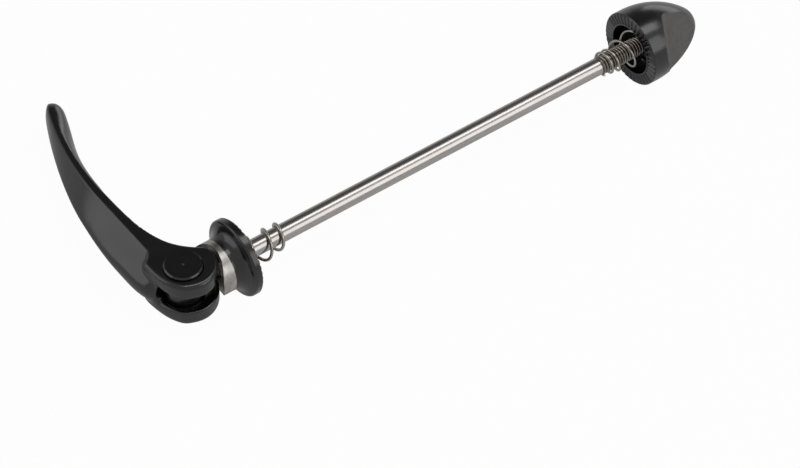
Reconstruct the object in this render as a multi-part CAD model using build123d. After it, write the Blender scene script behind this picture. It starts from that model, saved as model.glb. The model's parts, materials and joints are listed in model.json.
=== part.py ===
from build123d import *
import os
from math import asin, atan2, ceil, cos, degrees, exp, pi, radians, sin, sqrt, tan

# Quick release skewer of a bicycle's front wheel, closed and lying on a table.
# X runs along the rod from the lever to the nut. The origin is where the rod's axis
# crosses the clamping face of the cup. Each piece is drawn with Z along the lever's
# pivot, and the whole skewer is then rolled about the rod until the handle's tip lies
# on the same surface as the cup and the nut.

# Rod: plain shank with a rolled thread, which stands proud of the shank
ROD_DIAMETER = 4.5
THREAD_DIAMETER = 5.0
THREAD_LENGTH = 23.0
ROD_CHAMFER = 0.6
GRIP_LENGTH = 120.0

# Lever: fork with two cam cheeks and a slot for the rod
CAM_CLOSED_RADIUS = 8.9
CAM_RISE = 2.9
CAM_SWEEP = 140.0
CAM_FLANK_RADIUS = 3.5
FORK_BACK = 7.2
FORK_BACK_START = 4.0
FORK_HEIGHT = 13.3
FORK_EDGE_RADIUS = 1.1
SLOT_CLEARANCE = 0.2
SLOT_BOTTOM = 2.6
SLOT_LEAN = 11.0
SHOULDER_HEIGHT = 5.4
SHOULDER_END = 11.2
SHOULDER_CORNER_RADIUS = 1.8
ROOT_RADIUS = 20.0

# Lever handle: ridge line in plan, and its section from root to tip
HANDLE_RIDGE_OFFSET = 4.1
HANDLE_STRAIGHT = 29.6
HANDLE_BEND_RADIUS = 90.0
HANDLE_BEND_ANGLE = 25.3
HANDLE_TIP_HEIGHT = 7.0
RIDGE_WIDTH_ROOT = 2.9
RIDGE_WIDTH_TIP = 0.7
OUTER_CROWN_BELLY = 6.4
OUTER_CROWN_TIP = 0.2
BELLY_PLACE = 0.2
BELLY_SPREAD = 0.475
CROWN_RUNOUT = 0.11
CROWN_RUNOUT_DROP = 0.6
INNER_CROWN_ROOT = 0.65
INNER_CROWN_TIP = 2.8
TIP_ROUND_LENGTH = 3.2
RIDGE_STEP = 0.06

# Pivot barrel
BARREL_DIAMETER = 9.5
BARREL_PROUD = 0.6
BARREL_CHAMFER = 0.35
ROD_SEAT_DEPTH = 3.2
BARREL_CLEARANCE = 0.05
FIT_CLEARANCE = 0.02

# Saddle washer between the cam and the cup
CAM_GAP = 0.28
WASHER_WEB = 1.45
WASHER_LIP = 2.1
WASHER_DIAMETER = 13.5
SADDLE_RADIUS = 11.4
SLIDE_CLEARANCE = 0.35

# Cup
CUP_DIAMETER = 20.2
CUP_RIM_LENGTH = 2.25
CUP_RIM_ROUND = 0.7
CUP_FACE_CHAMFER = 0.4
CUP_RECESS_DIAMETER = 13.4
CUP_RECESS_DEPTH = 3.2

# Nut
NUT_LENGTH = 20.0
NUT_DIAMETER = 20.0
NUT_RIM_LENGTH = 2.7
NUT_NOSE_RADIUS = 5.2
NUT_FACE_CHAMFER = 0.4
NUT_RECESS_DIAMETER = 13.4
NUT_RECESS_DEPTH = 4.4
NUT_BORE_DEPTH = 16.5
NUT_SPARE_DEPTH = 4.0
NUT_FLAT_WIDTH = 8.6
NUT_SHOULDER_START = 4.3
NUT_SHOULDER_SLOPE = 56.0
NUT_SHOULDER_FILLET = 2.4
NUT_TURN = 18.0
THREAD_CLEARANCE = 0.05
LOCK_RING_DIAMETER = 8.4
LOCK_RING_LENGTH = 2.6

# Teeth pressed into both clamping faces
TOOTH_COUNT = 40
TOOTH_DEPTH = 0.35
TOOTH_LAND = 0.8
TOOTH_INNER_BAND = 0.45

# Conical wire springs, from the wide end in a recess to the narrow end on the rod
SPRING_SEAT_GAP = 0.05
SPRING_ROD_GAP = 0.1
SPRING_STEPS = 10
LEVER_SPRING_WIRE = 0.8
LEVER_SPRING_WIDE = 8.6
LEVER_SPRING_TURNS = 3.35
LEVER_SPRING_FIRST_PITCH = 7.4
LEVER_SPRING_LAST_PITCH = 2.1
LEVER_SPRING_TAPER = 1.0
LEVER_SPRING_START = 0.1
NUT_SPRING_WIRE = 0.65
NUT_SPRING_WIDE = 11.0
NUT_SPRING_TURNS = 4.0
NUT_SPRING_FIRST_PITCH = 4.8
NUT_SPRING_LAST_PITCH = 2.4
NUT_SPRING_TAPER = 1.6
NUT_SPRING_START = 0.5

# Places along the rod
CUP_LENGTH = (CUP_DIAMETER - WASHER_DIAMETER) / 2 + CUP_RIM_LENGTH
PIVOT_X = -(CUP_LENGTH + WASHER_WEB + CAM_GAP + CAM_CLOSED_RADIUS)
ROD_END = GRIP_LENGTH + NUT_BORE_DEPTH - NUT_SPARE_DEPTH
FORK_TOP = FORK_HEIGHT / 2
SLOT_WIDTH = ROD_DIAMETER + 2 * SLOT_CLEARANCE
SLIDE_BORE = ROD_DIAMETER + 2 * SLIDE_CLEARANCE


def revolve_x(profile):
    """Solid of a half section drawn in the XY plane, turned about the rod's axis."""
    return revolve(profile, Axis.X, 360)


def cylinder_x(diameter, start, end):
    """Round bar along the rod's axis between two places."""
    return Pos((start + end) / 2, 0, 0) * Rot(Y=90) * Cylinder(diameter / 2, end - start)


def radial_teeth(inner_diameter, outer_diameter, facing):
    """V grooves round a clamping face at X 0, leaving a plain band inside them."""
    inner = inner_diameter / 2 + TOOTH_INNER_BAND
    outer = outer_diameter / 2 + 1
    pitch = pi * outer_diameter / TOOTH_COUNT
    half = (pitch - TOOTH_LAND) / 2
    rise = TOOTH_DEPTH / half
    over = TOOTH_DEPTH
    vee = Polygon(
        (-TOOTH_DEPTH, 0), (over, half + over / rise), (over, -half - over / rise), align=None
    )
    groove = extrude(Pos(0, 0, inner) * vee, outer - inner, dir=(0, 0, 1))
    if facing < 0:
        groove = groove.mirror(Plane.YZ)
    return [Rot(X=360 * i / TOOTH_COUNT) * groove for i in range(TOOTH_COUNT)]


def make_rod():
    thread_start = ROD_END - THREAD_LENGTH
    shank = cylinder_x(ROD_DIAMETER, PIVOT_X - ROD_SEAT_DEPTH, thread_start)
    thread = cylinder_x(THREAD_DIAMETER, thread_start, ROD_END)
    thread = chamfer(thread.edges().group_by(Axis.X)[-1], ROD_CHAMFER)
    run_out = (THREAD_DIAMETER - ROD_DIAMETER) / 2
    thread = chamfer(thread.edges().group_by(Axis.X)[0], run_out * 0.98)
    return shank + thread


def make_barrel():
    barrel = Cylinder(BARREL_DIAMETER / 2, FORK_HEIGHT + 2 * BARREL_PROUD)
    barrel = chamfer(barrel.edges().filter_by(GeomType.CIRCLE), BARREL_CHAMFER)
    barrel = Pos(PIVOT_X, 0, 0) * barrel
    seat = cylinder_x(ROD_DIAMETER + 2 * FIT_CLEARANCE, PIVOT_X - ROD_SEAT_DEPTH, PIVOT_X + BARREL_DIAMETER)
    return barrel - seat


def fork_outline():
    """Plan of the fork about the pivot: cam spiral, outer shoulder, the neck under
    the handle, the root curve and the flank, each tangent to the next."""
    steps = 5
    turns = [radians(CAM_SWEEP) * i / steps for i in range(steps + 1)]
    radii = [CAM_CLOSED_RADIUS - CAM_RISE * turn / pi for turn in turns]
    spiral = [Vector(r * cos(turn), -r * sin(turn)) for r, turn in zip(radii, turns)]
    fall = -CAM_RISE / pi
    courses = [Vector(fall * p.X + p.Y * p.length, fall * p.Y - p.X * p.length) for p in spiral]
    cam = Spline(*spiral, tangents=[courses[0], courses[-1]])
    back = Spline(cam @ 1, (-FORK_BACK, FORK_BACK_START), tangents=[courses[-1], (0, 1)])

    outer, ridge = -FORK_BACK, -HANDLE_RIDGE_OFFSET
    set_in, climb = ridge - outer, SHOULDER_END - SHOULDER_HEIGHT
    both = (set_in**2 + climb**2) / (2 * set_in)
    hollow = both - SHOULDER_CORNER_RADIUS
    lean = degrees(atan2(climb, both - set_in))
    side = Line((outer, FORK_BACK_START), (outer, SHOULDER_HEIGHT))
    corner_center = (outer + SHOULDER_CORNER_RADIUS, SHOULDER_HEIGHT)
    corner = CenterArc(corner_center, SHOULDER_CORNER_RADIUS, 180, -lean)
    sweep_in = CenterArc((ridge - hollow, SHOULDER_END), hollow, -lean, lean)

    inner = ridge + RIDGE_WIDTH_ROOT
    flank_center = CAM_CLOSED_RADIUS - CAM_FLANK_RADIUS
    root_center = inner + ROOT_RADIUS
    reach = CAM_FLANK_RADIUS + ROOT_RADIUS
    neck_end = sqrt(reach**2 - (root_center - flank_center) ** 2)
    tilt = degrees(atan2(neck_end, root_center - flank_center))
    root = CenterArc((root_center, neck_end), ROOT_RADIUS, 180, tilt)
    flank = CenterArc((flank_center, 0), CAM_FLANK_RADIUS, tilt, -tilt)
    neck = Polyline((ridge, SHOULDER_END), (ridge, neck_end), (inner, neck_end))
    return make_face([cam, back, side, corner, sweep_in, neck, root, flank])


def make_fork():
    """Fork block with rounded edges, without the slot and the bore."""
    block = extrude(fork_outline(), FORK_TOP, both=True)
    return fillet(block.edges().filter_by(Plane.XY), FORK_EDGE_RADIUS)


def handle_section(plane, share, scale=1.0):
    """Section of the handle at a share of its length: a flat ridge above and below, an
    outer side whose flanks slope to a rounded middle, and an inner side that swells
    toward the tip in the same way."""
    root_height = FORK_TOP - RIDGE_STEP
    height = root_height + (HANDLE_TIP_HEIGHT / 2 - root_height) * share**2
    land = (RIDGE_WIDTH_ROOT + (RIDGE_WIDTH_TIP - RIDGE_WIDTH_ROOT) * share) / 2
    belly = exp(-(((share - BELLY_PLACE) / BELLY_SPREAD) ** 2))
    runout = max(0, 1 - share / CROWN_RUNOUT) ** 2
    outer = OUTER_CROWN_TIP + (OUTER_CROWN_BELLY - OUTER_CROWN_TIP) * belly
    outer = outer * (1 - CROWN_RUNOUT_DROP * runout)
    inner = INNER_CROWN_ROOT + (INNER_CROWN_TIP - INNER_CROWN_ROOT) * share
    height, land, outer, inner = (scale * size for size in (height, land, outer, inner))

    def side(edge, swell):
        ends = [(swell, -height), (-swell, -height)]
        return Spline((edge, height), (edge + swell, 0), (edge, -height), tangents=ends)

    top = Line((-land, height), (land, height))
    bottom = Line((land, -height), (-land, -height))
    return plane * make_face([top, side(land, inner), bottom, side(-land, -outer)])


def make_handle():
    """Handle along its ridge: straight from the fork, then bent toward the wheel. Its
    outer face runs out in the back of the fork."""
    middle = RIDGE_WIDTH_ROOT / 2 - HANDLE_RIDGE_OFFSET
    bend = JernArc((middle, HANDLE_STRAIGHT), (0, 1), HANDLE_BEND_RADIUS, -HANDLE_BEND_ANGLE)
    length = HANDLE_STRAIGHT + bend.length
    shoulder = length - TIP_ROUND_LENGTH

    def station(distance, scale):
        if distance < HANDLE_STRAIGHT:
            place, course = Vector(middle, distance), Vector(0, 1)
        else:
            share = (distance - HANDLE_STRAIGHT) / bend.length
            place, course = bend @ share, bend % share
        inward = Vector(course.Y, -course.X)
        place += inward * (1 - scale) * (INNER_CROWN_TIP - OUTER_CROWN_TIP) / 2
        return Plane(place, x_dir=inward, z_dir=-course)

    def section(distance, scale=1.0):
        return handle_section(station(distance, scale), distance / length, scale)

    body = loft([section(shoulder * i / 12) for i in range(13)])
    angles = [0, pi / 8, pi / 4, 3 * pi / 8]
    cap = [section(shoulder + TIP_ROUND_LENGTH * sin(a), cos(a)) for a in angles]
    return body + loft(cap + [Vertex(station(length, 0).origin)])


def make_lever():
    """Lever with its bore for the barrel and a slot that the rod swings in. The slot's
    end leans, so it is deepest on the cam's side."""
    lever = make_fork() + make_handle()
    slot_length = 2 * CAM_CLOSED_RADIUS
    slot = Pos(0, SLOT_BOTTOM - slot_length / 2, 0) * Box(4 * CAM_CLOSED_RADIUS, slot_length, SLOT_WIDTH)
    bore = Cylinder(BARREL_DIAMETER / 2 + BARREL_CLEARANCE, 2 * FORK_HEIGHT)
    return Pos(PIVOT_X, 0, 0) * (lever - Rot(Z=SLOT_LEAN) * slot - bore)


def make_washer():
    back = -CUP_LENGTH
    disc = cylinder_x(WASHER_DIAMETER, back - WASHER_WEB - WASHER_LIP, back)
    saddle_axis = back - WASHER_WEB - SADDLE_RADIUS
    saddle = Pos(saddle_axis, 0, 0) * Cylinder(SADDLE_RADIUS, 2 * WASHER_DIAMETER)
    return disc - saddle - cylinder_x(SLIDE_BORE, back - 2 * WASHER_LIP - WASHER_WEB, back + 1)


def make_cup():
    rim, hole, recess = CUP_DIAMETER / 2, SLIDE_BORE / 2, CUP_RECESS_DIAMETER / 2
    neck = WASHER_DIAMETER / 2
    flare = rim - neck
    sweep_up = CenterArc((-CUP_LENGTH, rim), flare, -90, 90)
    inside = Polyline(
        sweep_up @ 1,
        (-CUP_FACE_CHAMFER, rim),
        (0, rim - CUP_FACE_CHAMFER),
        (0, recess),
        (-CUP_RECESS_DEPTH, recess),
        (-CUP_RECESS_DEPTH, hole),
        (-CUP_LENGTH, hole),
        sweep_up @ 0,
    )
    section = make_face([sweep_up, inside])
    edge = section.vertices().sort_by_distance(sweep_up @ 1)[0]
    cup = revolve_x(fillet(edge, CUP_RIM_ROUND))
    return cup - radial_teeth(CUP_RECESS_DIAMETER, CUP_DIAMETER, 1)


def nut_body():
    """Solid of the nut: a short rim, an ogive and a round nose, from X 0."""
    rim = NUT_DIAMETER / 2
    nose_center = NUT_LENGTH - NUT_NOSE_RADIUS
    run = nose_center - NUT_RIM_LENGTH
    ogive = (run**2 + rim**2 - NUT_NOSE_RADIUS**2) / (2 * (rim - NUT_NOSE_RADIUS))
    meet = degrees(atan2(ogive - rim, run))
    side = CenterArc((NUT_RIM_LENGTH, rim - ogive), ogive, 90, meet - 90)
    nose = CenterArc((nose_center, 0), NUT_NOSE_RADIUS, meet, -meet)
    rest = Polyline(
        nose @ 1, (0, 0), (0, rim - NUT_FACE_CHAMFER), (NUT_FACE_CHAMFER, rim), (NUT_RIM_LENGTH, rim)
    )
    return revolve_x(make_face([side, nose, rest]))


def finger_cut():
    """Cutter for one finger flat, with a sloping shoulder behind the rim."""
    out = NUT_DIAMETER / 2
    level = NUT_FLAT_WIDTH / 2
    foot = NUT_SHOULDER_START + (out - level) / tan(radians(NUT_SHOULDER_SLOPE))
    far = NUT_LENGTH + out
    head = NUT_SHOULDER_START - out / tan(radians(NUT_SHOULDER_SLOPE))
    outline = Polygon((head, 2 * out), (foot, level), (far, level), (far, 2 * out), align=None)
    outline = fillet(outline.vertices().sort_by_distance((foot, level))[0], NUT_SHOULDER_FILLET)
    return extrude(Plane.XZ * outline, 2 * out, both=True)


def make_nut():
    nut = nut_body()
    cut = finger_cut()
    nut = nut - cut - Rot(X=180) * cut
    nut = nut - cylinder_x(NUT_RECESS_DIAMETER, -1, NUT_RECESS_DEPTH)
    nut = nut - cylinder_x(LOCK_RING_DIAMETER, 0, NUT_RECESS_DEPTH + LOCK_RING_LENGTH)
    nut = nut - cylinder_x(THREAD_DIAMETER + 2 * THREAD_CLEARANCE, 0, NUT_BORE_DEPTH)
    nut = nut - radial_teeth(NUT_RECESS_DIAMETER, NUT_DIAMETER, -1)
    return Pos(GRIP_LENGTH, 0, 0) * Rot(X=90 - NUT_TURN) * nut


def make_lock_ring():
    start = GRIP_LENGTH + NUT_RECESS_DEPTH
    ring = cylinder_x(LOCK_RING_DIAMETER - 2 * FIT_CLEARANCE, start, start + LOCK_RING_LENGTH)
    return ring - cylinder_x(THREAD_DIAMETER + 2 * FIT_CLEARANCE, start - 1, start + LOCK_RING_LENGTH + 1)


def make_spring(wire, wide, core, turns, pitches, taper, start, hang):
    """Conical spring along +X from its wide end at X 0, of six-sided wire. A hanging one
    rests on the rod with the tops of its coils."""
    narrow_radius = core / 2 + SPRING_ROD_GAP + wire / 2
    flare = wide / 2 - narrow_radius
    first, last = pitches
    points = []
    steps = ceil(turns * SPRING_STEPS)
    for i in range(steps + 1):
        turn = turns * i / steps
        along = wire / 2 + first * turn + (last - first) * turn**2 / (2 * turns)
        out = flare * (1 - turn / turns) ** taper
        radius = narrow_radius + out
        angle = 2 * pi * (turn + start)
        points.append((along, radius * sin(angle), radius * cos(angle) - hang * out))
    coil = Spline(*points)
    end = Plane(origin=coil @ 0, z_dir=coil % 0)
    return sweep(end * RegularPolygon(wire / 2, 6), path=coil, is_frenet=True)


def make_lever_spring():
    pitches = (LEVER_SPRING_FIRST_PITCH, LEVER_SPRING_LAST_PITCH)
    spring = make_spring(
        LEVER_SPRING_WIRE, LEVER_SPRING_WIDE, ROD_DIAMETER, LEVER_SPRING_TURNS, pitches,
        LEVER_SPRING_TAPER, LEVER_SPRING_START, hang=1,
    )
    return Pos(SPRING_SEAT_GAP - CUP_RECESS_DEPTH, 0, 0) * spring


def make_nut_spring():
    pitches = (NUT_SPRING_FIRST_PITCH, NUT_SPRING_LAST_PITCH)
    spring = make_spring(
        NUT_SPRING_WIRE, NUT_SPRING_WIDE, THREAD_DIAMETER, NUT_SPRING_TURNS, pitches,
        NUT_SPRING_TAPER, NUT_SPRING_START, hang=0,
    )
    return Pos(GRIP_LENGTH + NUT_RECESS_DEPTH - SPRING_SEAT_GAP, 0, 0) * spring.mirror(Plane.YZ)


def rest_roll():
    """Angle about the rod at which the handle's tip meets the table."""
    reach = HANDLE_STRAIGHT + HANDLE_BEND_RADIUS * sin(radians(HANDLE_BEND_ANGLE))
    return degrees(asin((CUP_DIAMETER - HANDLE_TIP_HEIGHT) / 2 / reach))


PIECES = {
    "lever": make_lever,
    "pivot_barrel": make_barrel,
    "cam_washer": make_washer,
    "clamp_cup": make_cup,
    "lever_spring": make_lever_spring,
    "skewer_rod": make_rod,
    "nut_spring": make_nut_spring,
    "adjusting_nut": make_nut,
    "nut_lock_ring": make_lock_ring,
}

os.makedirs("parts", exist_ok=True)
for name, make in PIECES.items():
    export_step(Rot(X=-rest_roll()) * make(), f"parts/{name}.step")
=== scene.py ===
import bpy
import bmesh
import json
import math
from mathutils import Matrix, Vector


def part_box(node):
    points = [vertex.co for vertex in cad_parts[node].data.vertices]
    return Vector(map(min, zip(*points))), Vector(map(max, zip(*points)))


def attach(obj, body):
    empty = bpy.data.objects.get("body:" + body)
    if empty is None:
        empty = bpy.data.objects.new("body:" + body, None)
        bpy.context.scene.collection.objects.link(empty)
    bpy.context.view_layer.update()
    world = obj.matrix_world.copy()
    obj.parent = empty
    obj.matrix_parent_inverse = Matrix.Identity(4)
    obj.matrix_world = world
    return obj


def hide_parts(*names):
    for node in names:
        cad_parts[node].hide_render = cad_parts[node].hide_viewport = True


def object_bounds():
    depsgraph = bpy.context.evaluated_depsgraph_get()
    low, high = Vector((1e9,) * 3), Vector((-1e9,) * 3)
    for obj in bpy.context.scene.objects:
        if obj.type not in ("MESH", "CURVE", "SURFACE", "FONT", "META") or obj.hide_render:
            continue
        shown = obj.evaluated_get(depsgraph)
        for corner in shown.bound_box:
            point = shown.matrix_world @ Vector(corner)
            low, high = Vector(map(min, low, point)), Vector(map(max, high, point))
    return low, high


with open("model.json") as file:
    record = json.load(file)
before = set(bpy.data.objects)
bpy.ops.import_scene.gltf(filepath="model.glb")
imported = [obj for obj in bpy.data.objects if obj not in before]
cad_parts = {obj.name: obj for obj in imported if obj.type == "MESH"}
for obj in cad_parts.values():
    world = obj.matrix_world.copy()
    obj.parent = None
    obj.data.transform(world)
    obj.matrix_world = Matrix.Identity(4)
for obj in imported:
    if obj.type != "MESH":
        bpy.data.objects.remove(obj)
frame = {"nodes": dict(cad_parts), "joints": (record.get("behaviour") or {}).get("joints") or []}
cad_low, cad_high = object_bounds()


# Skewer rod. A drawn stainless rod, 4.5 mm thick, with an M5 thread rolled on the end
# that carries the nut. Rolling squeezes the thread out, so it stands proud of the shank.
# The other end is fixed in the pivot barrel.
rod_low, rod_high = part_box("skewer_rod")
shank_radius = 0.00225
thread_radius = 0.0025
thread_root = 0.00206
thread_pitch = 0.0008
thread_length = 0.023
thread_start = rod_high.x - thread_length
thread_fade = 0.0012
thread_lead_in = 0.0006
flank_low = 0.12
flank_high = 0.82
rod_points = 64
shank_steps = 24
steps_per_pitch = 10


def between(value, low, high):
    """Share of the way from low to high, held between 0 and 1."""
    return min(max((value - low) / (high - low), 0.0), 1.0)


def thread_height(along, angle):
    """Radius of the rolled thread at a place along the rod and an angle round it."""
    phase = (along / thread_pitch - angle / (2 * math.pi)) % 1.0
    wave = 1.0 - abs(2.0 * phase - 1.0)
    crest = between(wave, flank_low, flank_high)
    full = thread_root + (thread_radius - thread_root) * crest
    grow = between(along, thread_start, thread_start + thread_fade)
    radius = shank_radius + (full - shank_radius) * grow
    lead_in = thread_radius - max(0.0, thread_lead_in - (rod_high.x - along))
    return min(radius, lead_in)


def turn_angles(count):
    """Angles spaced evenly round a full turn."""
    return [2 * math.pi * k / count for k in range(count)]


def rod_ring(along, radius_at):
    """Ring of points round the rod's axis."""
    ring = []
    for angle in turn_angles(rod_points):
        radius = radius_at(angle)
        ring.append((along, radius * math.cos(angle), radius * math.sin(angle)))
    return ring


def ring_mesh(name, rings):
    """Piece whose skin joins rings of points, one after the other, closed at both ends."""
    mesh = bmesh.new()
    loops = [[mesh.verts.new(point) for point in ring] for ring in rings]
    around = len(loops[0])
    for first, second in zip(loops, loops[1:]):
        for i in range(around):
            j = (i + 1) % around
            mesh.faces.new((first[i], first[j], second[j], second[i])).smooth = True
    mesh.faces.new(loops[0])
    mesh.faces.new(list(reversed(loops[-1])))
    bmesh.ops.recalc_face_normals(mesh, faces=mesh.faces)
    data = bpy.data.meshes.new(name)
    mesh.to_mesh(data)
    mesh.free()
    piece = bpy.data.objects.new(name, data)
    bpy.context.scene.collection.objects.link(piece)
    return piece


rod_rings = []
for i in range(shank_steps + 1):
    along = rod_low.x + (thread_start - rod_low.x) * i / shank_steps
    rod_rings.append(rod_ring(along, lambda angle: shank_radius))
thread_steps = round(thread_length / thread_pitch * steps_per_pitch)
for i in range(1, thread_steps + 1):
    along = thread_start + thread_length * i / thread_steps
    rod_rings.append(rod_ring(along, lambda angle: thread_height(along, angle)))
rod = ring_mesh("threaded_rod", rod_rings)


def feed(tree, socket, value):
    """Links a socket to another node's output, or sets it to a plain value."""
    if isinstance(value, bpy.types.NodeSocket):
        tree.links.new(value, socket)
    else:
        socket.default_value = value


def add_node(tree, kind, inputs, **settings):
    """New shader node with its settings, and with its inputs linked or set."""
    node = tree.nodes.new("ShaderNode" + kind)
    for setting, value in settings.items():
        setattr(node, setting, value)
    for socket, value in inputs.items():
        feed(tree, node.inputs[socket], value)
    return node


def add_math(tree, operation, *values):
    """Output of a new math node."""
    return add_node(tree, "Math", dict(enumerate(values)), operation=operation).outputs["Value"]


def add_length(tree, vector):
    """Length of a vector."""
    return add_node(tree, "VectorMath", {0: vector}, operation="LENGTH").outputs["Value"]


def add_noise(tree, vector, scale, detail):
    """Procedural noise, mostly between 0.3 and 0.7."""
    inputs = {"Vector": vector, "Scale": scale, "Detail": detail}
    return add_node(tree, "TexNoise", inputs).outputs["Fac"]


def add_range(tree, value, low, high, to_low=0.0, to_high=1.0):
    """Value moved from one range to another."""
    inputs = {"Value": value, "From Min": low, "From Max": high}
    inputs.update({"To Min": to_low, "To Max": to_high})
    return add_node(tree, "MapRange", inputs).outputs["Result"]


def add_ramp(tree, factor, low, low_color, high, high_color):
    """Colour that runs from one to another between two values of a factor."""
    node = add_node(tree, "ValToRGB", {"Fac": factor})
    first, last = node.color_ramp.elements
    first.position = low
    first.color = [*low_color, 1.0]
    last.position = high
    last.color = [*high_color, 1.0]
    return node.outputs["Color"]


def add_mix(tree, blend_type, factor, first, second):
    """Two colours mixed."""
    inputs = {"Fac": factor, "Color1": first, "Color2": second}
    return add_node(tree, "MixRGB", inputs, blend_type=blend_type).outputs["Color"]


def add_bump(tree, height, strength, depth, over=None):
    """Normal of a surface with a small relief, over a finer one if there is one."""
    inputs = {"Height": height, "Strength": strength, "Distance": depth}
    if over is not None:
        inputs["Normal"] = over
    return add_node(tree, "Bump", inputs).outputs["Normal"]


def shaded(color, level):
    """Colour made lighter or darker."""
    return [level * channel for channel in color]


def new_finish(name):
    """New material, its node tree, its shader's sockets and its texture coordinates."""
    finish = bpy.data.materials.new(name)
    finish.use_nodes = True
    tree = finish.node_tree
    place = tree.nodes.new("ShaderNodeTexCoord").outputs
    return finish, tree, tree.nodes["Principled BSDF"].inputs, place


def bare_metal(name, color, roughness, stretch, grain, relief, mottle):
    """Bare steel. Fine lines, drawn out along one direction, vary its gloss, its tone and
    its surface, and a soft mottle lightens and darkens it in patches."""
    finish, tree, shader, place = new_finish(name)
    shader["Metallic"].default_value = 1.0
    drawn = add_node(tree, "Mapping", {"Vector": place["Object"], "Scale": stretch})
    lines = add_noise(tree, drawn.outputs["Vector"], scale=grain, detail=4.0)
    patches = add_noise(tree, place["Object"], scale=420.0, detail=3.0)
    streaks = add_ramp(tree, lines, 0.32, shaded(color, 0.82), 0.68, color)
    patch_shade = add_ramp(tree, patches, 0.35, [1.0 - mottle] * 3, 0.65, [1.0] * 3)
    tone = add_mix(tree, "MULTIPLY", 1.0, streaks, patch_shade)
    gloss = add_range(tree, lines, 0.3, 0.7, to_low=roughness * 0.75, to_high=roughness * 1.3)
    feed(tree, shader["Base Color"], tone)
    feed(tree, shader["Roughness"], gloss)
    feed(tree, shader["Normal"], add_bump(tree, lines, strength=relief, depth=0.00002))
    return finish


# Painted shade: the valleys of the thread are darkened in the colour, and the crests are
# lighter.
painted_valley_shade = (0.1, 0.08, 0.065)
crest_color = (0.75, 0.71, 0.66)
drawn_stainless = bare_metal(
    "drawn_stainless",
    color=(0.53, 0.505, 0.485),
    roughness=0.22,
    stretch=(6.0, 900.0, 900.0),
    grain=3.0,
    relief=0.1,
    mottle=0.05,
)
tree = drawn_stainless.node_tree
steel_color = tree.nodes["Principled BSDF"].inputs["Base Color"]
bare_color = steel_color.links[0].from_socket
place = tree.nodes.new("ShaderNodeTexCoord").outputs["Object"]
inputs = {0: place, 1: (0.0, 1.0, 1.0)}
across = add_node(tree, "VectorMath", inputs, operation="MULTIPLY").outputs["Vector"]
depth = add_range(tree, add_length(tree, across), thread_root, thread_radius)
# Painted shade, darkest at the roots of the thread and fading out to its crests.
thread_shade = add_ramp(tree, depth, 0.0, painted_valley_shade, 1.0, crest_color)
along = add_node(tree, "SeparateXYZ", {"Vector": place}).outputs["X"]
on_thread = add_math(tree, "GREATER_THAN", along, thread_start)
feed(tree, steel_color, add_mix(tree, "MULTIPLY", on_thread, bare_color, thread_shade))
rod.data.materials.append(drawn_stainless)
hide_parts("skewer_rod")
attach(rod, "rod")


# Pivot barrel. A turned steel pin, blackened, that passes through both cheeks of the fork
# and holds the end of the rod. Its ends stand a little proud of the lever, and show fine
# rings from the lathe, with a small pip in the middle where the tool was drawn off.
nodes = frame["nodes"]
pivot = next(joint for joint in frame["joints"] if joint["name"] == "lever_pivot")
pivot_place = Vector(pivot["pos_m"])
pivot_roll = math.atan2(pivot["axis"][1], pivot["axis"][2])
# Lengths of the pips and of the lever are in this frame, in millimetres from the pivot.
lever_frame = (
    Matrix.Translation(pivot_place)
    @ Matrix.Rotation(-pivot_roll, 4, "X")
    @ Matrix.Scale(0.001, 4)
)
barrel_end = 7.25
pip_profile = ((0.34, -0.05), (0.33, 0.02), (0.27, 0.08), (0.16, 0.11), (0.05, 0.12))
pip_points = 20


def turned_black(name, color, roughness, ior, center, roll, rings, relief):
    """Black metal off a lathe. Fine rings round the turning axis, which is Z after the
    move and roll, vary its gloss and its surface, under faint clouds of the black."""
    finish, tree, shader, place = new_finish(name)
    shader["IOR"].default_value = ior
    inputs = {"Vector": place["Object"], "Location": center, "Rotation": roll}
    centred = add_node(tree, "Mapping", inputs, vector_type="TEXTURE").outputs["Vector"]
    parts = add_node(tree, "SeparateXYZ", {"Vector": centred}).outputs
    flat = add_node(tree, "CombineXYZ", {"X": parts["X"], "Y": parts["Y"]}).outputs["Vector"]
    inputs = {"X": add_length(tree, flat), "Y": parts["Z"]}
    cut = add_node(tree, "CombineXYZ", inputs).outputs["Vector"]
    marks = add_noise(tree, cut, scale=rings, detail=3.0)
    clouds = add_noise(tree, place["Object"], scale=380.0, detail=5.0)
    tone = add_ramp(tree, clouds, 0.35, shaded(color, 0.65), 0.7, shaded(color, 1.35))
    gloss = add_range(tree, marks, 0.3, 0.7, to_low=roughness * 0.75, to_high=roughness * 1.3)
    feed(tree, shader["Base Color"], tone)
    feed(tree, shader["Roughness"], gloss)
    feed(tree, shader["Normal"], add_bump(tree, marks, strength=relief, depth=0.00001))
    return finish


def dress(node, finish):
    """Gives a CAD node its finish."""
    nodes[node].data.materials.clear()
    nodes[node].data.materials.append(finish)


blackened_pin = turned_black(
    "blackened_pin",
    color=(0.003, 0.003, 0.0032),
    roughness=0.2,
    ior=1.6,
    center=pivot_place,
    roll=(-pivot_roll, 0.0, 0.0),
    rings=6000.0,
    relief=0.15,
)
dress("pivot_barrel", blackened_pin)
for end, flip in (("upper", 1), ("lower", -1)):
    pip_rings = []
    for radius, height in pip_profile:
        level = flip * (barrel_end + height)
        ring = []
        for angle in turn_angles(pip_points):
            point = Vector((radius * math.cos(angle), radius * math.sin(angle), level))
            ring.append(lever_frame @ point)
        pip_rings.append(ring)
    pip = ring_mesh(f"{end}_centre_pip", pip_rings)
    pip.data.materials.append(blackened_pin)
    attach(pip, "rod")


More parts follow.
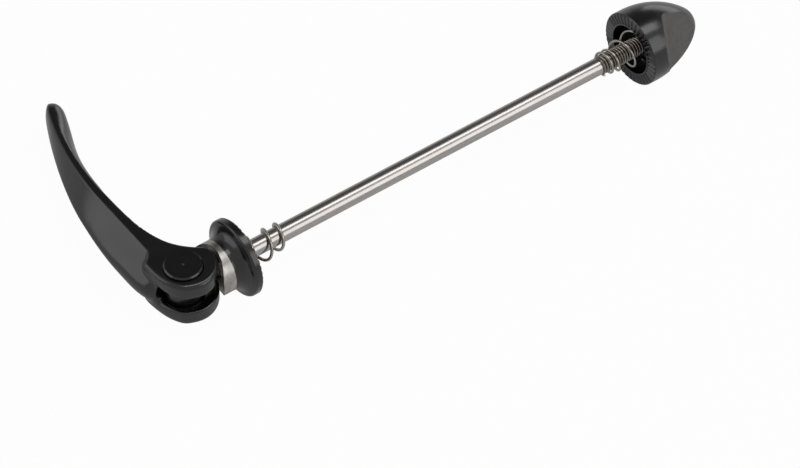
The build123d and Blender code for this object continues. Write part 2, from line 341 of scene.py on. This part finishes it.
# Lever. Forged aluminium, coated satin black: a fork with two cam cheeks and a long handle
# that bends toward the wheel. The forging leaves soft edges, a thumb-shaped tip and a
# smooth run from the handle's belly into the fork. It turns on the pivot barrel.
fork_top = 6.65
fork_cut = 11.2
tip_top = 3.5
tip_round = 4.2
tip_lean = math.radians(88)
tip_fullness = 0.65
handle_start = 2.2
handle_middle = -2.65
handle_straight = 29.6
bend_radius = 90.0
bend_angle = math.radians(25.3)
handle_length = handle_straight + bend_radius * bend_angle
ridge_half = 1.45
ridge_half_loss = 1.1
belly_least = 0.4
belly_swell = 6.0
belly_middle = 0.2
belly_spread = 0.475
runout_end = 0.11
runout_loss = 0.25
inner_least = 0.65
inner_gain = 2.15
thumb_swell = 0.8
thumb_middle = 0.88
thumb_spread = 0.13
root_fullness = 1.3
fullness_loss = 1.05
flattening = (0.15, 0.42)
outer_rounding = (0.62, 0.92)
inner_rounding = (0.36, 0.5)
inner_round = 0.66
ridge_steps = 6
flank_steps = 14
handle_steps = 110
tip_steps = 15
root_end = 26.0
root_growth = 0.000527
voxel = 0.24


def hump(value, middle, spread):
    """Smooth hump of height 1."""
    return math.exp(-(((value - middle) / spread) ** 2))


def side_curve(edge, swell, height, fullness, roundness):
    """Flank of the handle from its upper ridge edge to its lower one: nearly flat to a
    tight turn in the middle, or round, or between the two."""
    curve = []
    for i in range(1, 2 * flank_steps):
        upper = i <= flank_steps
        t = i / flank_steps if upper else 2 - i / flank_steps
        ease = t * t * (3 - 2 * t)
        leave = t * (1 - t) ** 2
        arrive = t * t * (t - 1)
        quarter = math.pi / 2 * t
        flat_out = ease + leave
        flat_rise = 1 - ease - leave - fullness * arrive
        out = (1 - roundness) * flat_out + roundness * math.sin(quarter)
        rise = (1 - roundness) * flat_rise + roundness * math.cos(quarter)
        curve.append((edge + swell * out, height * (rise if upper else -rise)))
    return curve


def handle_ring(distance, scale=1.0):
    """Ring round the handle at a distance from the pivot: a ridge above and below, a
    belly on the outer side, and on the inner side a shallow swell and the fork's root."""
    share = distance / handle_length
    height = fork_top + (tip_top - fork_top) * share**2
    land = ridge_half - ridge_half_loss * share
    runout = max(0.0, 1 - share / runout_end) ** 2
    belly = belly_least + belly_swell * hump(share, belly_middle, belly_spread)
    outer = belly * (1 - runout_loss * runout)
    thumb = thumb_swell * hump(share, thumb_middle, thumb_spread)
    inner = inner_least + inner_gain * share + thumb
    fullness = root_fullness - fullness_loss * between(share, *flattening)
    outer_roundness = between(share, *outer_rounding)
    inner_roundness = max(outer_roundness, inner_round * between(share, *inner_rounding))
    root = root_growth * max(0.0, root_end - distance) ** 3
    breadth = 2 * land + root
    ridge = [breadth * k / ridge_steps - land for k in range(ridge_steps + 1)]
    outer_flank = side_curve(-land, -outer, height, fullness, outer_roundness)
    ring = [(x, height) for x in ridge]
    ring += side_curve(land + root, inner, height, fullness, inner_roundness)
    ring += [(x, -height) for x in reversed(ridge)]
    ring += [(x, -z) for x, z in outer_flank]
    turn = max(0.0, distance - handle_straight) / bend_radius
    along = min(distance, handle_straight) + bend_radius * math.sin(turn)
    middle = Vector((handle_middle + bend_radius * (1 - math.cos(turn)), along, 0.0))
    inward = Vector((math.cos(turn), -math.sin(turn), 0.0))
    middle += inward * (1 - scale) * (inner - outer) / 2
    return [middle + inward * (scale * x) + Vector((0, 0, scale * z)) for x, z in ring]


def bake_modifiers(piece):
    """Gives a piece the mesh that its modifiers make, and takes them off."""
    seen = piece.evaluated_get(bpy.context.evaluated_depsgraph_get())
    baked = bpy.data.meshes.new_from_object(seen)
    piece.modifiers.clear()
    piece.data = baked


handle_rings = []
reach = handle_length - tip_round - handle_start
for i in range(handle_steps + 1):
    handle_rings.append(handle_ring(handle_start + reach * i / handle_steps))
for i in range(1, tip_steps + 1):
    lean = tip_lean * i / tip_steps
    distance = handle_length - tip_round * (1 - math.sin(lean))
    handle_rings.append(handle_ring(distance, math.cos(lean) ** tip_fullness))
handle = ring_mesh("handle_form", handle_rings)

# The fork is the CAD lever's, cut off across the root and closed, then welded to the handle.
shape = bmesh.new()
shape.from_mesh(nodes["lever"].data)
to_lever = lever_frame.inverted() @ nodes["lever"].matrix_world
bmesh.ops.transform(shape, matrix=to_lever, verts=shape.verts)
bmesh.ops.remove_doubles(shape, verts=shape.verts, dist=0.0005)
rim = bmesh.ops.bisect_plane(
    shape,
    geom=shape.verts[:] + shape.edges[:] + shape.faces[:],
    plane_co=(0, fork_cut, 0),
    plane_no=(0, 1, 0),
    clear_outer=True,
)["geom_cut"]
bmesh.ops.edgenet_fill(shape, edges=[e for e in rim if isinstance(e, bmesh.types.BMEdge)])
shape.from_mesh(handle.data)
forging_data = bpy.data.meshes.new("forged_lever")
shape.to_mesh(forging_data)
shape.free()
bpy.data.objects.remove(handle)
lever = bpy.data.objects.new("forged_lever", forging_data)
bpy.context.scene.collection.objects.link(lever)
weld = lever.modifiers.new("weld", "REMESH")
weld.mode = "VOXEL"
weld.voxel_size = voxel
bake_modifiers(lever)

# All edges are eased, and the belly's end much more, where it runs into the fork's back.
soft_start = (-5.0, 1.0)
soft_end = (17.0, 12.0)
soft_side = (-2.0, -3.6)
soft_top = (5.4, 4.4)
soft = lever.vertex_groups.new(name="soft")
for vertex in lever.data.vertices:
    x, y, z = vertex.co
    near_root = between(y, *soft_start) * between(y, *soft_end)
    belly_end = near_root * between(x, *soft_side) * between(z, *soft_top)
    if belly_end > 0:
        soft.add([vertex.index], belly_end, "REPLACE")
even = lever.modifiers.new("even", "SMOOTH")
even.factor = 0.5
even.iterations = 4
blend_in = lever.modifiers.new("blend_in", "SMOOTH")
blend_in.vertex_group = "soft"
blend_in.factor = 0.5
blend_in.iterations = 120
bake_modifiers(lever)

# The smoothing thins the lower half of that run, and this fills it again.
fill_depth = 0.4
fill_middle = 8.0
fill_spread = 5.0
fill_low = (-1.5, -4.0)
fill_side = (-3.5, -4.8)
filled = []
for vertex in lever.data.vertices:
    x, y, z = vertex.co
    fill = hump(y, fill_middle, fill_spread) * between(z, *fill_low) * between(x, *fill_side)
    filled.extend(vertex.co + vertex.normal * (fill_depth * fill))
lever.data.vertices.foreach_set("co", filled)
lever.data.transform(lever_frame)
lever.data.polygons.foreach_set("use_smooth", [True] * len(lever.data.polygons))


def satin_black(name, color, roughness, ior, relief):
    """Satin black surface. Faint clouds vary its tone and its gloss, over a fine grain and
    a slow unevenness."""
    finish, tree, shader, place = new_finish(name)
    shader["IOR"].default_value = ior
    clouds = add_noise(tree, place["Object"], scale=160.0, detail=6.0)
    grain = add_noise(tree, place["Object"], scale=4200.0, detail=2.0)
    tone = add_ramp(tree, clouds, 0.35, shaded(color, 0.7), 0.7, shaded(color, 1.3))
    gloss = add_range(tree, clouds, 0.3, 0.7, to_low=roughness * 0.85, to_high=roughness * 1.2)
    fine = add_bump(tree, grain, strength=relief, depth=0.00001)
    slow = add_bump(tree, clouds, strength=relief, depth=0.0001, over=fine)
    feed(tree, shader["Base Color"], tone)
    feed(tree, shader["Roughness"], gloss)
    feed(tree, shader["Normal"], slow)
    return finish


satin_coat = satin_black(
    "satin_black_coat", color=(0.003, 0.003, 0.0033), roughness=0.2, ior=1.65, relief=0.1
)
lever.data.materials.clear()
lever.data.materials.append(satin_coat)
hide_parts("lever")
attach(lever, "lever")


# Cam washer. A plated steel saddle, hollow on the side that the cam cheeks roll on. It
# slides on the rod, between the lever and the cup.
satin_plate = bare_metal(
    "satin_plate",
    color=(0.56, 0.54, 0.5),
    roughness=0.34,
    stretch=(200.0, 60.0, 60.0),
    grain=12.0,
    relief=0.3,
    mottle=0.3,
)
dress("cam_washer", satin_plate)


# Clamp cup. Turned aluminium, anodised black, with radial teeth pressed into its clamping
# face and a recess for the spring. It slides on the rod with the washer.
turned_on_rod = {
    "color": (0.003, 0.003, 0.0033),
    "ior": 1.65,
    "center": (0.0, 0.0, 0.0),
    "roll": (0.0, math.pi / 2, 0.0),
    "rings": 5000.0,
    "relief": 0.12,
}
dress("clamp_cup", turned_black("anodised_black", roughness=0.18, **turned_on_rod))


# Lever spring. A conical spring of bright stainless wire that centres the wheel's axle. Its
# wide end sits in the cup's recess, and it hangs on the rod with the tops of its coils.
wire_room = 0.0001
wire_points = 14
steps_per_turn = 36
lever_wire = 0.0008
lever_turns = 3.35
lever_wide = 0.0043
lever_narrow = shank_radius + wire_room + lever_wire / 2
lever_pitch = 0.007
lever_pitch_loss = 0.005
cup_seat = -0.00315


def wound_wire(name, wire, narrow, turns, along_at, out_at, start, hang, first_end, toward):
    """Round wire wound round the rod from its wide end at first_end. along_at and out_at
    say how far along and how far out from the narrow coils it is after a number of turns."""
    steps = round(turns * steps_per_turn)
    roll = Matrix.Rotation(-pivot_roll, 3, "X")
    line = []
    for i in range(steps + 1):
        turn = turns * i / steps
        out = out_at(turn)
        angle = 2 * math.pi * (turn + start)
        along = first_end + toward * (wire / 2 + along_at(turn))
        across = (narrow + out) * math.sin(angle)
        rise = (narrow + out) * math.cos(angle) - hang * out
        line.append(roll @ Vector((along, across, rise)))
    rings = []
    for i, point in enumerate(line):
        course = (line[min(i + 1, steps)] - line[max(i - 1, 0)]).normalized()
        side = course.cross(Vector((1, 0, 0))).normalized()
        lift = course.cross(side)
        spokes = [side * math.cos(a) + lift * math.sin(a) for a in turn_angles(wire_points)]
        rings.append([point + wire / 2 * spoke for spoke in spokes])
    return ring_mesh(name, rings)


bright_wire = bare_metal(
    "bright_wire",
    color=(0.5, 0.47, 0.42),
    roughness=0.2,
    stretch=(700.0, 700.0, 700.0),
    grain=3.0,
    relief=0.12,
    mottle=0.15,
)
lever_spring = wound_wire(
    "lever_spring_wire",
    wire=lever_wire,
    narrow=lever_narrow,
    turns=lever_turns,
    along_at=lambda turn: lever_pitch * turn - lever_pitch_loss * turn**2 / (2 * lever_turns),
    out_at=lambda turn: (lever_wide - lever_narrow) * (1 - turn / lever_turns),
    start=0.1,
    hang=1.0,
    first_end=cup_seat,
    toward=1,
)
lever_spring.data.materials.append(bright_wire)
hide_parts("lever_spring")
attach(lever_spring, "cup")


# Nut spring. The same kind of spring, in thinner wire, on the thread. Its wide end sits in
# the nut's recess, and its last turns are closer and as narrow as the thread allows.
nut_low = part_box("adjusting_nut")[0]
nut_wire = 0.00065
nut_pitch = 0.0044
nut_pitch_loss = 0.0026
close_from = 2.3
nut_flare = 0.0022
flare_end = 2.6
nut_seat = nut_low.x + 0.00435
nut_spring = wound_wire(
    "nut_spring_wire",
    wire=nut_wire,
    narrow=thread_radius + wire_room + nut_wire / 2,
    turns=4.1,
    along_at=lambda turn: nut_pitch * turn - nut_pitch_loss * max(0.0, turn - close_from),
    out_at=lambda turn: nut_flare * max(0.0, 1 - turn / flare_end),
    start=0.5,
    hang=0.0,
    first_end=nut_seat,
    toward=-1,
)
nut_spring.data.materials.append(bright_wire)
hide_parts("nut_spring")
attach(nut_spring, "nut_carriage")


# Adjusting nut. Turned aluminium, anodised black like the cup, with two milled finger
# flats, radial teeth pressed into its clamping face and a recess for the spring. It screws
# onto the rod. The flats and the shoulders behind them are matt from the milling cutter.
flat_turn = math.radians(18.0) + pivot_roll
flat_normal = (0.0, math.cos(flat_turn), -math.sin(flat_turn))
flat_along = (0.0, math.sin(flat_turn), math.cos(flat_turn))
flat_width = 0.0086
flat_margin = 0.00002
flat_tolerance = 0.04
rim_end = nut_low.x + 0.0046
matt_dark = (0.075, 0.069, 0.064)
matt_light = (0.1, 0.093, 0.087)
matt_roughness = 0.25


def add_dot(tree, vector, direction):
    """How far a vector reaches in a direction."""
    inputs = {0: vector, 1: direction}
    return add_node(tree, "VectorMath", inputs, operation="DOT_PRODUCT").outputs["Value"]


nut_black = turned_black("anodised_nut", roughness=0.2, **turned_on_rod)
tree = nut_black.node_tree
shader = tree.nodes["Principled BSDF"].inputs
turned_color = shader["Base Color"].links[0].from_socket
turned_gloss = shader["Roughness"].links[0].from_socket
place = tree.nodes.new("ShaderNodeTexCoord").outputs
offset = add_math(tree, "ABSOLUTE", add_dot(tree, place["Object"], flat_normal))
off_axis = add_math(tree, "GREATER_THAN", offset, flat_width / 2 - flat_margin)
lean = add_dot(tree, place["Normal"], flat_along)
square = add_math(tree, "COMPARE", lean, 0.0, flat_tolerance)
along = add_node(tree, "SeparateXYZ", {"Vector": place["Object"]}).outputs["X"]
past_rim = add_math(tree, "GREATER_THAN", along, rim_end)
milled = add_math(tree, "MULTIPLY", add_math(tree, "MULTIPLY", square, off_axis), past_rim)
grain = add_noise(tree, place["Object"], scale=900.0, detail=5.0)
matt = add_ramp(tree, grain, 0.3, matt_dark, 0.7, matt_light)
gloss = add_math(tree, "MULTIPLY_ADD", milled, matt_roughness, turned_gloss)
feed(tree, shader["Base Color"], add_mix(tree, "MIX", milled, turned_color, matt))
feed(tree, shader["Roughness"], gloss)
dress("adjusting_nut", nut_black)


# Lock ring. A nylon ring pressed into the bottom of the nut's recess, which grips the
# thread so that the nut stays where it is set.
black_nylon = satin_black(
    "black_nylon", color=(0.02, 0.02, 0.021), roughness=0.55, ior=1.5, relief=0.4
)
dress("nut_lock_ring", black_nylon)


# Stage. A white floor that keeps the shadow, a pale surround with a dark corner behind and
# above, four soft boxes, and a camera with a long lens.
scene = bpy.context.scene
scene.view_settings.view_transform = "Standard"
white = (1.0, 1.0, 1.0, 1.0)
floor_half = 3.0
floor_z = cad_low.z - 0.00005
paper_color = (0.65, 0.65, 0.65, 1.0)
dark_corner = (0.413, 0.62, 0.667)
room_light = (0.46, 0.46, 0.46)
room_dark = (0.02, 0.02, 0.02)
stage_center = Vector((0.055, 0.02, 0.0))
lamp_distance = 0.9


def background_share(tree, seen, mirrored):
    """How much of the white background a ray gets: one from the camera, or one that metal
    or glass sends on."""
    ray = tree.nodes.new("ShaderNodeLightPath").outputs
    share = add_math(tree, "MULTIPLY", ray["Is Camera Ray"], seen)
    share = add_math(tree, "MULTIPLY_ADD", ray["Is Glossy Ray"], mirrored, share)
    return add_math(tree, "MULTIPLY_ADD", ray["Is Transmission Ray"], mirrored, share)


corners = [(-1, -1), (1, -1), (1, 1), (-1, 1)]
floor_mesh = bpy.data.meshes.new("floor")
floor_mesh.from_pydata(
    [(x * floor_half, y * floor_half, floor_z) for x, y in corners], [], [(0, 1, 2, 3)]
)
floor = bpy.data.objects.new("floor", floor_mesh)
scene.collection.objects.link(floor)
white_paper = bpy.data.materials.new("white_paper")
white_paper.use_nodes = True
tree = white_paper.node_tree
tree.nodes.clear()
paper = add_node(tree, "BsdfDiffuse", {"Color": paper_color}).outputs["BSDF"]
glow = add_node(tree, "Emission", {"Color": white}).outputs["Emission"]
share = background_share(tree, seen=0.97, mirrored=0.2)
surface = add_node(tree, "MixShader", {"Fac": share, 1: paper, 2: glow}).outputs["Shader"]
add_node(tree, "OutputMaterial", {"Surface": surface})
floor_mesh.materials.append(white_paper)

world = bpy.data.worlds.new("white_surround")
world.use_nodes = True
scene.world = world
tree = world.node_tree
room = tree.nodes["Background"]
room.inputs["Strength"].default_value = 1.0
place = tree.nodes.new("ShaderNodeTexCoord").outputs["Generated"]
facing = add_dot(tree, place, dark_corner)
feed(tree, room.inputs["Color"], add_ramp(tree, facing, 0.72, room_light, 0.94, room_dark))
backdrop = add_node(tree, "Background", {"Color": white}).outputs["Background"]
share = background_share(tree, seen=1.0, mirrored=0.1)
inputs = {"Fac": share, 1: room.outputs["Background"], 2: backdrop}
surround = add_node(tree, "MixShader", inputs).outputs["Shader"]
feed(tree, tree.nodes["World Output"].inputs["Surface"], surround)


def soft_box(name, direction, width, height, glow_level):
    """Rectangular lamp that faces the skewer from a direction, as bright as glow_level."""
    lamp_data = bpy.data.lights.new(name, "AREA")
    lamp_data.shape = "RECTANGLE"
    lamp_data.size = width
    lamp_data.size_y = height
    lamp_data.energy = glow_level * math.pi * width * height
    lamp = bpy.data.objects.new(name, lamp_data)
    toward = Vector(direction).normalized()
    lamp.location = stage_center + toward * lamp_distance
    lamp.rotation_euler = toward.to_track_quat("Z", "Y").to_euler()
    lamp.visible_camera = False
    scene.collection.objects.link(lamp)


soft_box("overhead_box", (0.24, -0.02, 0.97), width=0.34, height=1.0, glow_level=2.1)
soft_box("front_box", (0.41, -0.75, 0.5), width=0.6, height=0.56, glow_level=1.35)
soft_box("left_box", (-0.78, 0.46, 0.36), width=0.7, height=0.6, glow_level=0.8)
soft_box("right_box", (0.8, 0.5, 0.15), width=0.5, height=0.3, glow_level=1.1)

camera_place = (-0.32741680, -0.42327498, 0.68881140)
camera_right = Vector((0.80240415, -0.59230186, 0.07298007))
camera_up = Vector((0.43033880, 0.65899682, 0.61687253))
camera_back = Vector((-0.41346837, -0.46357492, 0.78367225))
picture_width = 800
focal_length = 3645.76
camera_data = bpy.data.cameras.new("camera")
camera_data.sensor_fit = "HORIZONTAL"
camera_data.sensor_width = 36.0
camera_data.lens = focal_length / picture_width * camera_data.sensor_width
camera_data.clip_start = 0.01
camera_data.clip_end = 20.0
camera = bpy.data.objects.new("camera", camera_data)
camera_turn = Matrix((camera_right, camera_up, camera_back)).transposed().to_4x4()
camera.matrix_world = Matrix.Translation(camera_place) @ camera_turn
scene.collection.objects.link(camera)
scene.camera = camera
